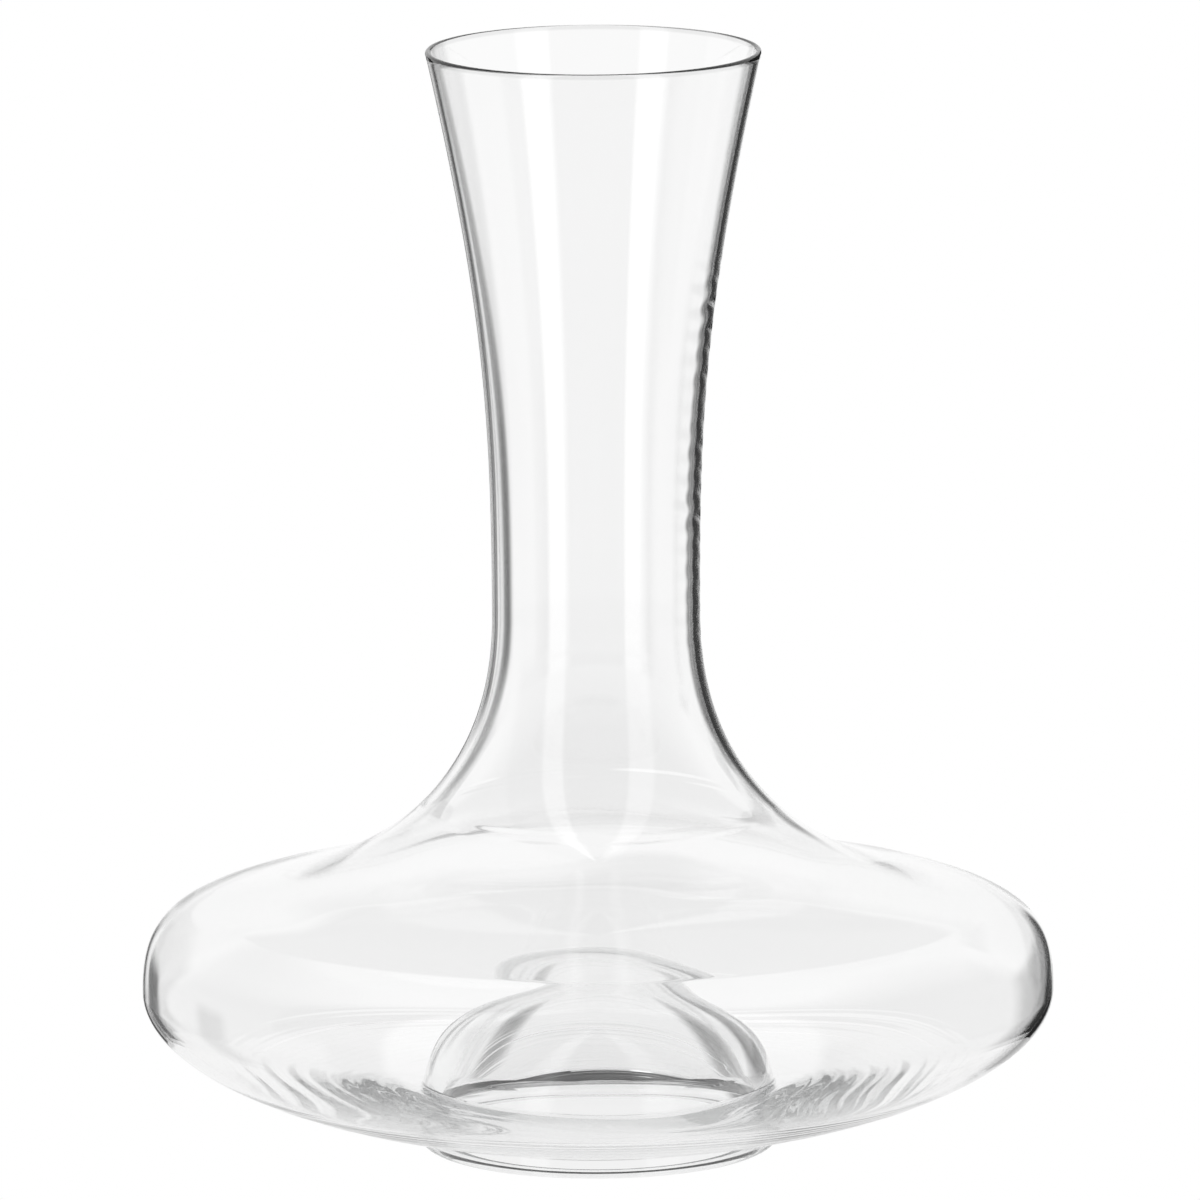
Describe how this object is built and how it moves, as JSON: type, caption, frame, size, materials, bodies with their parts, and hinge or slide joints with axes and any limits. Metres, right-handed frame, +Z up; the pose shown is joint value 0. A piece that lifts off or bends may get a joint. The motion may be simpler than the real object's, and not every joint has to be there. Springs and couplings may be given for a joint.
{
  "type": "wine decanter",
  "caption": "Clear blown glass wine decanter: flared mouth, slender neck, wide flat bowl with a domed push-up in a thick base and a low foot ring.",
  "frame": {"origin": "on the table plane, on the axis of the vessel, at the middle of the foot ring's flat", "axes": "+Z up through the mouth; the vessel is round about Z, so +X and +Y are free; -Y is taken as the front"},
  "size_m": [0.2, 0.2, 0.243],
  "materials": {
    "clear_glass": "fire-polished, clear and colourless"
  },
  "bodies": {
    "root": {"decanter": "clear_glass"}
  },
  "joints": []
}
